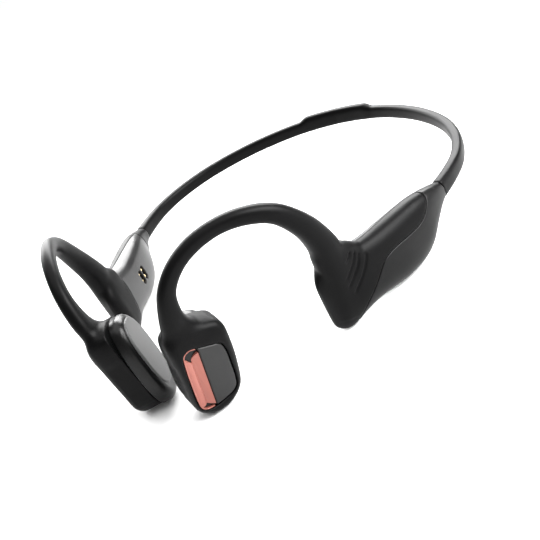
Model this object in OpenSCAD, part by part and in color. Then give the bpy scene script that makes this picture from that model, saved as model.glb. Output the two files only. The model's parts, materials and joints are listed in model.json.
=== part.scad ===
// Bone conduction headphones with a flexible neck band: two ear hooks, each with a pod behind the ear
// and a transducer in front of it. Millimetres. +X is the wearer's left, -Y the face, +Z up.
// The lowest points of the pods and transducers stand on z = 0, and x = y = 0 is the middle of the box.
// Every side is drawn as the left one, in a frame whose z = 0 is the middle of the neck band.

/* [Neck band] */
// Half the width between the two pod joints
half_width = 50; // [49:0.5:51]
// Height of the band's section
band_height = 4; // [3.6:0.1:4.2]
// Thickness of the band's section
band_depth = 2.9; // [2.5:0.1:3]
// How far the centre cover stands above the rest of the band
centre_rise = 1.3; // [0.8:0.1:2.2]
// Half the length of the raised centre cover
centre_half = 14.5; // [13:0.5:18]

/* [Pods] */
// Thickness of a pod's walls
pod_wall = 1.3; // [1:0.1:1.6]
// Heading of a pod, in degrees inwards from straight ahead
pod_heading = 20; // [19:0.5:21]

/* [Ear hooks] */
// Added to the width and the thickness of the hook all along
hook_extra = 0; // [-0.3:0.1:0.6]

/* [Transducers] */
// Depth of the soft outer shell of a transducer
shell_depth = 6.4; // [6.2:0.1:7]
// Depth of the glossy module that stands out of the shell on the head side
module_depth = 3.8; // [3.6:0.1:4.4]
// Thickness of the skin pad at its middle
pad_depth = 1; // [0.8:0.1:1.4]

/* [Wires] */
// Diameter of the titanium spring wire
core_d = 1; // [0.8:0.1:1]
// Diameter of the flexible cable
cable_d = 0.7; // [0.5:0.1:0.7]

/* [Hidden] */

// Where the side frame stands in the part's own frame
foot_height = 10.9905;
front_shift = 4.587;
gap = 0.08;
// Half width that the stations below were drawn for
drawn_half_width = 50;

silicone = [0.11, 0.11, 0.115];
hard_plastic = [0.2, 0.2, 0.205];
inner_plastic = [0.33, 0.33, 0.33];
gloss_black = [0.03, 0.03, 0.03];
pad_grey = [0.45, 0.45, 0.45];
coral = [0.9, 0.48, 0.42];
steel = [0.7, 0.71, 0.72];
copper = [0.75, 0.45, 0.25];
gold = [0.85, 0.68, 0.3];
board_green = [0.08, 0.3, 0.2];

// Left half of the band, from the middle of the back to the pod: [x, y]
band_stations = [
    [0, 55.6], [8, 54.9], [16, 52.95], [23.7, 49.7], [31.1, 45.3],
    [38.2, 39.4], [44.2, 32.4], [48.8, 23.7], [51.1, 14.6], [51, 6.6], [50, 0]
];

// Pod sections: [distance forward, top, bottom, outward half, inward half, offset of the middle]
pod_stations = [
    [0, 2.2, -2.4, 1.8, 1.8, 0],
    [3, 3.3, -3.7, 2.4, 2.3, 0.3],
    [6.5, 4.3, -6.5, 3.1, 3.1, 0.4],
    [10, 4.9, -9.4, 3.7, 3.9, 0.3],
    [14, 5.2, -10.8, 4, 4.4, 0.1],
    [20, 5.5, -10.8, 4.2, 4.7, -0.2],
    [26, 5.8, -10, 4.1, 4.6, -0.6],
    [31, 6.6, -9.6, 3.9, 4.3, -1.1],
    [35, 7.6, -10.2, 3.6, 3.8, -1.7],
    [38, 7.8, -10.95, 3.1, 3.2, -2.2],
    [40.2, 6.5, -10.6, 2.7, 2.8, -2.5],
    [42.3, 4, -9.4, 1.5, 1.5, -2.9]
];
pod_sides = 24;
pod_squareness = 2.5;
cavity_from = 6;
cavity_to = 34;
// Bore that the wires run through in the band and the neck of a pod: half height and half width
bore_half = [1.3, 0.7];

// Ear hook, from inside the pod to inside the transducer: [x, y, z, half width, half thickness]
hook_stations = [
    [35.1, -34.8, -4.5, 3.8, 2.6],
    [35.6, -34.5, 3, 4.1, 3],
    [35.9, -34.4, 8.5, 4.15, 2.95],
    [36.1, -35.2, 13, 3.4, 2.65],
    [35.6, -37.3, 18.9, 2.65, 2.3],
    [33.5, -40.8, 24.7, 2.2, 2],
    [30.3, -44.8, 28, 2, 1.85],
    [26.2, -49.2, 29.35, 1.8, 1.7],
    [22.1, -53.7, 28.8, 1.8, 1.7],
    [18.5, -57.7, 26.5, 1.8, 1.7],
    [15.7, -60.55, 22.4, 1.9, 1.8],
    [13.8, -62, 17, 2.3, 2],
    [12.2, -62.2, 12, 2.9, 2.2],
    [11.1, -61.9, 7, 3.2, 2.2]
];
hook_outward = [0.88, -0.47, 0];
hook_sides = 20;
hook_bore_half = [1.5, 0.75];
strand_offset = 0.8;
groove_r = 0.3;
// Four shallow grooves on a pod's outer face: [distance forward, outward, z]
groove_paths = [
    [[33.2, 0.1, 7.6], [34, 0.4, 6.5], [35.2, 0.8, 5.7]],
    [[32.4, 1.3, 5.9], [33.6, 1.5, 4.6], [35.2, 1.5, 3.4], [37, 1.1, 2.2]],
    [[31.6, 1.8, 4.8], [33, 1.95, 3.2], [35, 1.75, 1.6], [37.2, 1.2, 0.1]],
    [[30, 2.35, 3.6], [31.8, 2.45, 1.7], [33.9, 2.15, -0.3], [36.3, 1.5, -2.2]]
];

// Seam between the soft cover and the hard rear shell on a pod's outer face: [distance forward, z]
seam_line = [
    [8.6, 9], [8, 6], [7.3, 4.4], [8.1, 2.8], [10.4, 1], [13.2, -0.1],
    [17, -0.1], [22.3, 0.2], [25.7, -0.2], [27.7, -1.2], [30, -3.2], [32.1, -5.1],
    [34.5, -7.1], [37, -9.9], [39, -14]
];
cover_region = concat(seam_line, [[55, -14], [55, 30], [8.6, 30]]);
cover_edge_top = [31.8, 12];
cover_edge_bottom = [36.5, -14];
inner_region = [[-5, 30], [-5, -14], cover_edge_bottom, cover_edge_top, [31.8, 30]];

// Transducer frame: x outwards, y backwards, z up, from the front edge of the touch plate
transducer_at = [half_width - 38, -66, 0];
transducer_turn = [-9.3, 6.9, -31];
shell_middle = [4.9, 2.3];
shell_points = [
    [-1.6, 4], [-2, 9], [-1.4, 12.9], [2.5, 14.2], [7.4, 13.9], [11.2, 11.5], [12.1, 5],
    [12, -2], [11, -7.2], [7.2, -10.2], [2.7, -10.3], [-0.5, -7.3], [-1.1, -2]
];
// Outward level and scale of the rings that round the shell's outer edge
shell_rings = [[0, 0.82], [-0.35, 0.9], [-1.1, 0.96], [-2.4, 1], [-5, 1], [-6.1, 0.98]];
cavity_half = [5.9, 10.4];
case_middle = [4.6, 0.8];
case_half = [6.8, 11.6];
case_wall = 0.9;
case_rim = 0.8;
cavity_level = -1.8;
cavity_middle = [5.2, 2];
pad_middle = [4.5, 2.4];
pad_half = [3.9, 9];
pad_turn = -6.5;
plate_level = -1.2;
plate_split = 3.7;
driver_r = 4.7;
driver_middle = [5.2, 1.4];
driver_back = -5.3;
yoke_height = 3.1;
yoke_wall = 0.45;
yoke_floor = 0.7;
magnet_r = 3.2;
coil_r = 3.9;
coil_wall = 0.4;
coil_height = 2.2;
plate_thickness = 0.25;
mic_hole_r = 0.45;

// Left pod's cell and right pod's boards: [distance forward, outward, z] sizes
cell_size = [17, 3.6, 8];
cell_at = [21, -0.5, -2.2];
board_size = [18, 0.8, 7];
board_at = [20.5, 0.6, -1.2];
shield_size = [8, 1, 5];
port_at = [22, -1.8, -2.3];
port_size = [6.6, 1.4, 6];
slot_length = 4.4;
slot_width = 1.5;
slot_pitch = 2.5;
pin_pitch = 2.8;
pin_r = 0.4;
key_at = [22.5, 28.4];
key_length = 4.6;
key_width = 2.4;
key_lean = 6;
key_outward = [-0.1, -0.6];
key_low = [-10.75, -10.05];
key_height = 3.4;
key_foot = 0.5;

function unit(v) = v / norm(v);

// Point on a smooth curve through stations of any length; whole values of u are the stations
function curve_at(p, u) =
    let (
        i = min(floor(u), len(p) - 2), t = u - i,
        a = p[max(i - 1, 0)], b = p[i], c = p[i + 1], d = p[min(i + 2, len(p) - 1)]
    )
    (2 * b + (c - a) * t + (2 * a - 5 * b + 4 * c - d) * t * t
        + (3 * b - a - 3 * c + d) * t * t * t) / 2;

function curve(p, steps) = [for (k = [0 : (len(p) - 1) * steps]) curve_at(p, k / steps)];

// Smooth closed outline through points
function closed_curve(p, steps) =
    let (n = len(p), q = [for (k = [-1 : n + 1]) p[(k + n) % n]])
    [for (k = [0 : n * steps - 1]) curve_at(q, 1 + k / steps)];

function signed_power(v, e) = sign(v) * pow(abs(v), e);

// Rounded-square outline: e is 2 for an ellipse and grows towards a rectangle
function oval(a, b, e, n) = [
    for (k = [0 : n - 1])
        let (t = 360 * k / n)
        [a * signed_power(cos(t), 2 / e), b * signed_power(sin(t), 2 / e)]
];

// Two axes across each point of a path, the second one as near as it can be to ref
function crossways(path, ref) = [
    for (i = [0 : len(path) - 1])
        let (
            t = unit(path[min(i + 1, len(path) - 1)] - path[max(i - 1, 0)]),
            out = unit(ref - (ref * t) * t)
        )
        [cross(out, t), out]
];

// Rings of a sweep: sizes holds the half width and half thickness at each point
function sweep_rings(path, sizes, ref, e, n) =
    let (axes = crossways(path, ref))
    [
        for (i = [0 : len(path) - 1])
            [for (q = oval(sizes[i][0], sizes[i][1], e, n)) path[i] + q[0] * axes[i][0] + q[1] * axes[i][1]]
    ];

function ring_strip(i, j, n) = [
    for (k = [0 : n - 1])
        each [[i + k, j + k, j + (k + 1) % n], [i + k, j + (k + 1) % n, i + (k + 1) % n]]
];

function turned(faces) = [for (f = faces) [for (k = [len(f) - 1 : -1 : 0]) f[k]]];

// Closed skin over rings of equal length
module skin(rings) {
    n = len(rings[0]);
    last = (len(rings) - 1) * n;
    polyhedron(
        [for (r = rings) each r],
        concat(
            [[for (k = [0 : n - 1]) k]],
            [[for (k = [0 : n - 1]) last + n - 1 - k]],
            [for (i = [0 : len(rings) - 2]) each ring_strip(i * n, (i + 1) * n, n)]
        ),
        convexity = 8
    );
}

// Closed skin of a tube: outer rings and the rings of its bore
module tube_skin(outer, bore) {
    n = len(outer[0]);
    count = len(outer);
    inside = count * n;
    last = (count - 1) * n;
    polyhedron(
        concat([for (r = outer) each r], [for (r = bore) each r]),
        concat(
            [for (i = [0 : count - 2]) each ring_strip(i * n, (i + 1) * n, n)],
            turned([for (i = [0 : count - 2]) each ring_strip(inside + i * n, inside + (i + 1) * n, n)]),
            turned(ring_strip(0, inside, n)),
            ring_strip(last, inside + last, n)
        ),
        convexity = 8
    );
}

// A half of the headphones, drawn as the left one
module on_side(side) {
    translate([0, front_shift, foot_height])
        mirror([side == "right" ? 1 : 0, 0, 0])
            children();
}

// Pod frame: x forward, y outward, z up, from the middle of the band joint
module in_pod() {
    translate([half_width, 0, 0])
        rotate([0, 0, -90 - pod_heading])
            children();
}

module in_transducer() {
    translate(transducer_at)
        rotate(transducer_turn)
            children();
}

// Prism that stands on the transducer's y-z plane, from one outward level to another
module transducer_prism(from, to) {
    translate([min(from, to), 0, 0])
        rotate([90, 0, 90])
            linear_extrude(abs(to - from))
                children();
}

// ---- Neck band ----

band_steps = 2;
band_curve = curve(
    [for (s = band_stations) [s[0] * half_width / drawn_half_width, s[1], 0]],
    band_steps
);
band_first = len([for (p = band_curve) if (p[0] < centre_half && p[1] > 40) p]);
pod_back = [sin(pod_heading), cos(pod_heading), 0];
sleeve_path = concat(
    [for (i = [band_first : len(band_curve) - 2]) band_curve[i]],
    [for (back = [0.9, gap]) [half_width, 0, 0] + back * pod_back]
);
sleeve_count = len(sleeve_path);
centre_path_left = [for (i = [0 : band_first - 1]) band_curve[i]];

function neck_growth(i) = pow(max(0, (i - sleeve_count + 8) / 7), 2);

// The band widens where it meets the pod
sleeve_sizes = [
    for (i = [0 : sleeve_count - 1])
        [band_height / 2 + 0.45 * neck_growth(i), band_depth / 2 + 0.4 * neck_growth(i)]
];
band_sides = 16;
up = [0, 0, 1];

// Rings across a level path: z of the top and the bottom, and the half depth
function level_rings(path, tops, half_height, half_depth) = [
    for (i = [0 : len(path) - 1])
        let (
            t = unit(path[min(i + 1, len(path) - 1)] - path[max(i - 1, 0)]),
            out = [-t[1], t[0], 0]
        )
        [
            for (q = oval(half_depth[i], half_height, 3, band_sides))
                path[i] + q[0] * out + [0, 0, q[1] > 0 ? q[1] * tops[i] / half_height : q[1]]
        ]
];

function shoulder(x) = let (t = min(max((centre_half - 0.6 - abs(x)) / 3, 0), 1)) t * t * (3 - 2 * t);

module band_centre_cover() {
    left = centre_path_left;
    end_y = band_y(centre_half);
    path = concat(
        [[-centre_half, end_y, 0]],
        [for (i = [len(left) - 1 : -1 : 1]) [-left[i][0], left[i][1], 0]],
        left,
        [[centre_half, end_y, 0]]
    );
    bore_z = [for (p = path) bore_half[0]];
    bore_y = [for (p = path) bore_half[1]];
    tops = [for (p = path) band_height / 2 + centre_rise * shoulder(p[0])];
    depth = [for (p = path) band_depth / 2 + 0.25 * shoulder(p[0])];
    color(silicone)
        translate([0, front_shift, foot_height])
            tube_skin(
                level_rings(path, tops, band_height / 2, depth),
                level_rings(path, bore_z, bore_half[0], bore_y)
            );
}

// y of the band's centreline at a given x near the back
function band_y(x) =
    let (
        i = len([for (p = band_curve) if (p[0] < x && p[1] > 40) p]),
        a = band_curve[i - 1], b = band_curve[i]
    )
    a[1] + (b[1] - a[1]) * (x - a[0]) / (b[0] - a[0]);

module band_sleeve() {
    path = concat([[centre_half + gap, band_y(centre_half), 0]], sleeve_path);
    sizes = concat([sleeve_sizes[0]], sleeve_sizes);
    bore = [bore_half[1], bore_half[0]];
    color(silicone)
        tube_skin(
            sweep_rings(path, [for (s = sizes) [s[1], s[0]]], up, 3, band_sides),
            sweep_rings(path, [for (s = sizes) bore], up, 3, band_sides)
        );
}

// Whole band from one pod to the other, at a height in the bore
module band_strand(level, d, sides, reach) {
    half = [for (p = band_curve) [p[0], p[1], level]];
    last = half[len(half) - 1];
    tail = last - reach * pod_back;
    path = concat(
        [[-tail[0], tail[1], level]],
        [for (i = [len(half) - 1 : -1 : 1]) [-half[i][0], half[i][1], level]],
        half,
        [tail]
    );
    translate([0, front_shift, foot_height])
        skin(sweep_rings(path, [for (p = path) [d / 2, d / 2]], up, 2, sides));
}

module band_core_wire() {
    color(steel)
        band_strand(0.65, core_d, 8, 4.5);
}

module band_cable() {
    color(gloss_black)
        band_strand(-0.7, cable_d, 6, 4.5);
}

// ---- Pods ----

pod_curve = curve(pod_stations, 2);

function pod_ring(s, inset) =
    let (
        top = s[1] - inset, bottom = s[2] + inset,
        mid = (top + bottom) / 2, half = (top - bottom) / 2
    )
    [
        for (q = oval(1, half, pod_squareness, pod_sides))
            [s[0], s[5] + q[0] * ((q[0] > 0 ? s[3] : s[4]) - inset), mid + q[1]]
    ];

module pod_solid() {
    skin([for (s = pod_curve) pod_ring(s, 0)]);
}

module pod_cavity() {
    skin([for (s = pod_curve) if (s[0] >= cavity_from && s[0] <= cavity_to) pod_ring(s, pod_wall)]);
}

// Slab of the pod's shape seen from the side, between two distances outward
module pod_slab(points, from, to) {
    translate([0, to, 0])
        rotate([90, 0, 0])
            linear_extrude(to - from)
                polygon(points);
}

module neck_bore() {
    rotate([0, 90, 0])
        translate([0, 0, -1])
            linear_extrude(cavity_from + 2)
                polygon(oval(bore_half[0], bore_half[1], 3, 24));
}

// Holes through the pod's underside for the keys of the right pod
module key_holes() {
    for (i = [0, 1])
        key_frame(i)
            translate([0, 0, -1])
                linear_extrude(key_height + 1)
                    pill(key_length + 0.3, key_width + 0.3);
}

module pill(length, width) {
    for (x = [-1, 1])
        translate([x * (length - width) / 2, 0])
            circle(width / 2, $fn = 32);
    square([length - width, width], center = true);
}

module key_frame(i) {
    translate([key_at[i], key_outward[i], key_low[i]])
        rotate([0, -key_lean, 0])
            children();
}

module pod_rear_shell(with_keys) {
    color(hard_plastic)
        in_pod()
            difference() {
                pod_solid();
                pod_cavity();
                neck_bore();
                pod_slab(cover_region, 0, 8);
                pod_slab([[cavity_from, 30], [60, 30], [60, -30], [cavity_from, -30]], -8, gap / 2);
                if (with_keys)
                    key_holes();
            }
}

module pod_inner_shell(with_keys) {
    edge = [for (p = [cover_edge_top, cover_edge_bottom]) p - [gap, 0]];
    region = concat([[cavity_from + gap, -14], [cavity_from + gap, 12]], edge);
    color(inner_plastic)
        in_pod()
            difference() {
                intersection() {
                    pod_solid();
                    pod_slab(region, -8, -gap / 2);
                }
                pod_cavity();
                if (with_keys) {
                    key_holes();
                    port_opening();
                }
            }
}

module port_opening() {
    for (i = [-1, 1])
        translate([port_at[0] + i * slot_pitch / 2, 0, port_at[2]])
            rotate([90, 0, 0])
                linear_extrude(8)
                    rotate(90)
                        pill(slot_length, slot_width);
}

// ---- Ear hooks ----

hook_curve = curve(hook_stations, 2);
hook_path = [for (s = hook_curve) [s[0] + half_width - drawn_half_width, s[1], s[2]]];
hook_sizes = [for (s = hook_curve) [s[3] + hook_extra / 2, s[4] + hook_extra / 2]];

module hook_solid() {
    skin(sweep_rings(hook_path, hook_sizes, hook_outward, 2.3, hook_sides));
}

module hook_bore() {
    path = [for (i = [3 : len(hook_path) - 1]) hook_path[i]];
    skin(sweep_rings(path, [for (p = path) hook_bore_half], hook_outward, 3, 12));
}

// A strand in the hook's bore, moved across the bore by an offset
module hook_strand(offset, d, sides) {
    axes = crossways(hook_path, hook_outward);
    path = [for (i = [4 : len(hook_path) - 6]) hook_path[i] + offset * axes[i][0]];
    skin(sweep_rings(path, [for (p = path) [d / 2, d / 2]], hook_outward, 2, sides));
}

function shell_outline(scale) =
    [for (p = closed_curve(shell_points, 3)) shell_middle + scale * (p - shell_middle)];

module shell_solid() {
    skin([
        for (r = concat(shell_rings, [[-shell_depth, 0.96]]))
            [for (p = shell_outline(r[1])) [r[0], p[0], p[1]]]
    ]);
}

module superoval(middle, half, e) {
    translate(middle)
        polygon(oval(half[0], half[1], e, 40));
}

// Outline of the recess that holds the trim strip and the touch plate
module plate_outline(grow) {
    polygon([for (p = plate_points) plate_middle + (1 + grow / 8) * (p - plate_middle)]);
}

plate_middle = [5.1, 0.2];
plate_points = concat(
    [[3.7, 8.5], [0.9, 7.4], [0, 5.6], [0, -5.2], [1, -7], [4.2, -7.9]],
    [for (t = [-60 : 20 : 0]) [8.9, -4.2] + 1.5 * [cos(t), sin(t)]],
    [for (t = [0 : 20 : 70]) [8.4, 4.4] + 2 * [cos(t), sin(t)]]
);

module grooves() {
    for (path = groove_paths)
        for (k = [0 : len(path) - 2])
            hull()
                for (p = [path[k], path[k + 1]])
                    translate(p)
                        sphere(groove_r, $fn = 8);
}

module hook_cover() {
    color(silicone)
        difference() {
            union() {
                in_pod()
                    pod_solid();
                hook_solid();
                in_transducer()
                    shell_solid();
            }
            hook_bore();
            in_pod() {
                pod_cavity();
                pod_slab(concat([[-5, 30], [-5, -14]], seam_back()), -8, 8);
                pod_slab(inner_region, -8, gap / 2);
            }
            in_transducer() {
                transducer_prism(-shell_depth - 1, cavity_level)
                    superoval(cavity_middle, cavity_half, 2.8);
                transducer_prism(plate_level, 2)
                    plate_outline(0.2);
                mic_hole();
            }
            in_pod()
                grooves();
        }
}

// The part of a pod's outer face behind the seam
function seam_back() = [for (i = [len(seam_line) - 1 : -1 : 0]) seam_line[i] + [gap, 0]];

module hook_wire() {
    color(steel)
        hook_strand(strand_offset, core_d, 8);
}

module hook_cable() {
    color(gloss_black)
        hook_strand(-strand_offset, cable_d, 6);
}

// ---- Transducers ----

module module_case() {
    face = -shell_depth - module_depth;
    color(gloss_black)
        in_transducer()
            difference() {
                union() {
                    transducer_prism(face + case_rim, -shell_depth - gap)
                        superoval(case_middle, case_half, 2.8);
                    transducer_prism(face, face + case_rim)
                        superoval(case_middle, case_half - [0.5, 0.5], 2.8);
                    transducer_prism(-shell_depth - gap, cavity_level - 0.8)
                        superoval(cavity_middle, cavity_half - [gap, gap], 2.8);
                }
                transducer_prism(face + case_wall, cavity_level)
                    superoval(cavity_middle, cavity_half - [gap + 0.7, gap + 0.7], 2.8);
                mic_hole();
            }
}

// Sound hole through the shell and the case to the microphone
module mic_hole() {
    translate([-4, 3.6, -8])
        cylinder(h = 4, r = mic_hole_r, center = true, $fn = 24);
}

module skin_pad() {
    face = -shell_depth - module_depth;
    color(pad_grey)
        in_transducer()
            intersection() {
                transducer_prism(face - 3, face)
                    superoval(pad_middle, pad_half, 3);
                translate([face - pad_depth, pad_middle[0], pad_middle[1]])
                    rotate([0, 0, pad_turn])
                        translate([0, -10, -15])
                            cube([6, 20, 30]);
            }
}

module touch_plate() {
    color(hard_plastic)
        in_transducer()
            intersection() {
                transducer_prism(plate_level, 0.15)
                    plate_outline(0);
                translate([-3, plate_split + 0.1, -12])
                    cube([6, 12, 24]);
            }
}

// Two long facets with mitred ends
module trim_strip() {
    color(coral)
        in_transducer() {
            intersection() {
                transducer_prism(plate_level, -0.5)
                    plate_outline(0);
                translate([-3, -3, -12])
                    cube([6, plate_split + 2.9, 24]);
            }
            hull() {
                translate([-0.6, 0.2, -5.2])
                    cube([0.1, 0.1, 10.8]);
                translate([-0.6, 3.4, -7.3])
                    cube([0.1, 0.1, 15.4]);
                translate([0.2, 1.8, -5.4])
                    cube([0.1, 0.1, 11.4]);
                translate([0, 3.3, -6.9])
                    cube([0.1, 0.1, 14.4]);
            }
        }
}

module touch_board() {
    color(board_green)
        in_transducer()
            translate([cavity_level - 0.65, 0.4, -4.7])
                cube([0.5, 8, 13]);
}

module in_driver() {
    in_transducer()
        translate([driver_back, driver_middle[0], driver_middle[1]])
            rotate([0, -90, 0])
                children();
}

// Round suspension with three curved slots, held at its rim
module spring_plate() {
    color(steel)
        in_driver()
            translate([0, 0, -0.35])
                difference() {
                    cylinder(h = plate_thickness, r = driver_r + 0.25, $fn = 96);
                    for (a = [0, 120, 240])
                        rotate(a)
                            translate([0, 0, -1])
                                rotate_extrude(angle = 95, $fn = 96)
                                    translate([3.6, 0])
                                        square([0.6, 2]);
                }
}

module driver_yoke() {
    color(steel)
        in_driver()
            difference() {
                cylinder(h = yoke_height, r = driver_r, $fn = 96);
                translate([0, 0, yoke_floor])
                    cylinder(h = yoke_height, r = driver_r - yoke_wall, $fn = 96);
            }
}

module driver_magnet() {
    color(steel * 0.8)
        in_driver()
            translate([0, 0, yoke_floor])
                cylinder(h = yoke_height - yoke_floor - 0.2, r = magnet_r, $fn = 96);
}

module voice_coil() {
    floor_level = shell_depth + module_depth + driver_back - case_wall - 0.02;
    color(copper)
        in_driver()
            translate([0, 0, floor_level - coil_height])
                difference() {
                    cylinder(h = coil_height, r = coil_r, $fn = 96);
                    translate([0, 0, -1])
                        cylinder(h = coil_height + 2, r = coil_r - coil_wall, $fn = 96);
                }
}

module microphone() {
    color(steel)
        in_transducer()
            translate([-4.9, 2.6, -6.6])
                cube([1.8, 2.6, 0.9]);
}

// ---- Inside the pods ----

module battery() {
    color(steel)
        on_side("left")
            in_pod()
                translate(cell_at)
                    cube(cell_size, center = true);
}

module main_board() {
    color(board_green)
        on_side("right")
            in_pod()
                translate(board_at)
                    cube(board_size, center = true);
}

module radio_shield() {
    color(steel)
        on_side("right")
            in_pod()
                translate(board_at + [-3, (board_size[1] + shield_size[1]) / 2, 0])
                    cube(shield_size, center = true);
}

// Housing of the contacts behind the two slots of the inner shell
module charging_port() {
    color(gloss_black)
        on_side("right")
            in_pod()
                difference() {
                    translate(port_at)
                        cube(port_size, center = true);
                    at_pins()
                        cylinder(h = 3, r = pin_r, $fn = 32);
                }
}

module at_pins() {
    for (i = [-1, 1])
        for (k = [-1, 1])
            translate(port_at + [i * slot_pitch / 2, 1, k * pin_pitch / 2])
                rotate([90, 0, 0])
                    children();
}

module charging_pins() {
    color(gold)
        on_side("right")
            in_pod()
                at_pins()
                    translate([0, 0, 0.1])
                        cylinder(h = 2.9, r = pin_r - 0.02, $fn = 32);
}

module charging_magnets() {
    color(steel)
        on_side("right")
            in_pod()
                for (k = [-1, 1])
                    translate([port_at[0] + k * (port_size[0] / 2 + 1.6), port_at[1] + 0.7, port_at[2]])
                        rotate([90, 0, 0])
                            cylinder(h = 1.6, r = 1.4, $fn = 48);
}

// A key: its cap in the shell's hole and a wider foot inside that keeps it in
module side_key(i) {
    on_side("right")
        in_pod()
            key_frame(i) {
                linear_extrude(key_height)
                    pill(key_length, key_width);
                translate([0, 0, key_height])
                    linear_extrude(key_foot)
                        pill(key_length + 0.7, key_width + 0.6);
            }
}

module volume_up_key() {
    color(hard_plastic)
        side_key(1);
}

module volume_down_key() {
    color(hard_plastic)
        side_key(0);
}

module key_switches() {
    color(steel)
        on_side("right")
            in_pod()
                for (i = [0, 1])
                    key_frame(i)
                        translate([-1.5, -0.9, key_height + key_foot + 0.45])
                            cube([3, 1.8, 0.9]);
}

// ---- Left and right nodes ----

module left_band_sleeve() { on_side("left") band_sleeve(); }
module right_band_sleeve() { on_side("right") band_sleeve(); }
module left_hook_cover() { on_side("left") hook_cover(); }
module right_hook_cover() { on_side("right") hook_cover(); }
module left_hook_wire() { on_side("left") hook_wire(); }
module right_hook_wire() { on_side("right") hook_wire(); }
module left_hook_cable() { on_side("left") hook_cable(); }
module right_hook_cable() { on_side("right") hook_cable(); }
module left_pod_rear_shell() { on_side("left") pod_rear_shell(false); }
module right_pod_rear_shell() { on_side("right") pod_rear_shell(true); }
module left_pod_inner_shell() { on_side("left") pod_inner_shell(false); }
module right_pod_inner_shell() { on_side("right") pod_inner_shell(true); }
module left_module_case() { on_side("left") module_case(); }
module right_module_case() { on_side("right") module_case(); }
module left_skin_pad() { on_side("left") skin_pad(); }
module right_skin_pad() { on_side("right") skin_pad(); }
module left_touch_plate() { on_side("left") touch_plate(); }
module right_touch_plate() { on_side("right") touch_plate(); }
module left_trim_strip() { on_side("left") trim_strip(); }
module right_trim_strip() { on_side("right") trim_strip(); }
module left_touch_board() { on_side("left") touch_board(); }
module right_touch_board() { on_side("right") touch_board(); }
module left_spring_plate() { on_side("left") spring_plate(); }
module right_spring_plate() { on_side("right") spring_plate(); }
module left_driver_yoke() { on_side("left") driver_yoke(); }
module right_driver_yoke() { on_side("right") driver_yoke(); }
module left_driver_magnet() { on_side("left") driver_magnet(); }
module right_driver_magnet() { on_side("right") driver_magnet(); }
module left_voice_coil() { on_side("left") voice_coil(); }
module right_voice_coil() { on_side("right") voice_coil(); }
module left_microphone() { on_side("left") microphone(); }
module right_microphone() { on_side("right") microphone(); }

band_centre_cover();
band_core_wire();
band_cable();
left_band_sleeve();
right_band_sleeve();
left_hook_cover();
right_hook_cover();
left_hook_wire();
right_hook_wire();
left_hook_cable();
right_hook_cable();
left_pod_rear_shell();
right_pod_rear_shell();
left_pod_inner_shell();
right_pod_inner_shell();
left_module_case();
right_module_case();
left_skin_pad();
right_skin_pad();
left_touch_plate();
right_touch_plate();
left_trim_strip();
right_trim_strip();
left_touch_board();
right_touch_board();
left_spring_plate();
right_spring_plate();
left_driver_yoke();
right_driver_yoke();
left_driver_magnet();
right_driver_magnet();
left_voice_coil();
right_voice_coil();
left_microphone();
right_microphone();
battery();
main_board();
radio_shield();
charging_port();
charging_pins();
charging_magnets();
volume_up_key();
volume_down_key();
key_switches();
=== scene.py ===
import json
import math

import bpy
import numpy as np
from mathutils import Matrix, Vector


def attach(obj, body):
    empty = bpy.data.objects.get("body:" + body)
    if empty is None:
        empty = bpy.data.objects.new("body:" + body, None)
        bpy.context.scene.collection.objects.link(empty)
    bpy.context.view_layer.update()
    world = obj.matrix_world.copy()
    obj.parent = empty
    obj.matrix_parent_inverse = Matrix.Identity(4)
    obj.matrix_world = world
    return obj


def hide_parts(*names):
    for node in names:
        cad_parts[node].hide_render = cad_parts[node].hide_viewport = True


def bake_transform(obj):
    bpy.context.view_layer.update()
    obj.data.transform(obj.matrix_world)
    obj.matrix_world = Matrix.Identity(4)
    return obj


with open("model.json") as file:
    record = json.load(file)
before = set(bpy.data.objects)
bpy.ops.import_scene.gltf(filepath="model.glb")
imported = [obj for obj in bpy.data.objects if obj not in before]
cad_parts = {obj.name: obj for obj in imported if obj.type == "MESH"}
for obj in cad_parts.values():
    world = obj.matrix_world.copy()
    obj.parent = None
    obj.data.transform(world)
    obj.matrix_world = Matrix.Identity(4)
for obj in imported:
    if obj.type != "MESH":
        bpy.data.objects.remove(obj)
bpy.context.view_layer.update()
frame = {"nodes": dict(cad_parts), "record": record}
MM = 0.001

# Where the side frame stands in the row frame: x outwards, y back, z up, in millimetres.
LIFT = np.array([0, 4.587, 10.9905])


# ---------------------------------------------------------------- curves

def between(a, b, c, d, t):
    """A place on the smooth curve from b to c, whose neighbours are a and d."""
    return (2 * b + (c - a) * t + (2 * a - 5 * b + 4 * c - d) * t * t
            + (3 * b - a - 3 * c + d) * t ** 3) / 2


def spline(stations, steps):
    """Rows on a smooth open curve through the stations, with steps from one to the next."""
    p = np.array(stations, float)
    out = []
    for i in range(len(p) - 1):
        a, b, c, d = p[max(i - 1, 0)], p[i], p[i + 1], p[min(i + 2, len(p) - 1)]
        out += [between(a, b, c, d, k / steps) for k in range(steps)]
    out.append(p[-1])
    return np.array(out)


def closed_spline(points, steps):
    """Rows on a smooth closed curve through the points."""
    p = np.array(points, float)
    n = len(p)
    out = []
    for i in range(n):
        a, b, c, d = p[i - 1], p[i], p[(i + 1) % n], p[(i + 2) % n]
        out += [between(a, b, c, d, k / steps) for k in range(steps)]
    return np.array(out)


def rot(axis, degrees):
    """A turn about one axis, as a matrix."""
    return np.array(Matrix.Rotation(math.radians(degrees), 3, axis))


# ---------------------------------------------------------------- frames of the left side
# A pod's frame is distance forward, distance outwards, z. An ear frame is outwards, back, up.

POD_TURN = rot("Z", -110)
POD_AT = np.array([50.0, 0, 0])
EAR_TURN = rot("Z", -31) @ rot("Y", 6.9) @ rot("X", -9.3)
EAR_AT = np.array([12.0, -66, 0])


def to_pod(p):
    return (p - POD_AT) @ POD_TURN


def from_pod(p):
    return np.asarray(p, float) @ POD_TURN.T + POD_AT


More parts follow.
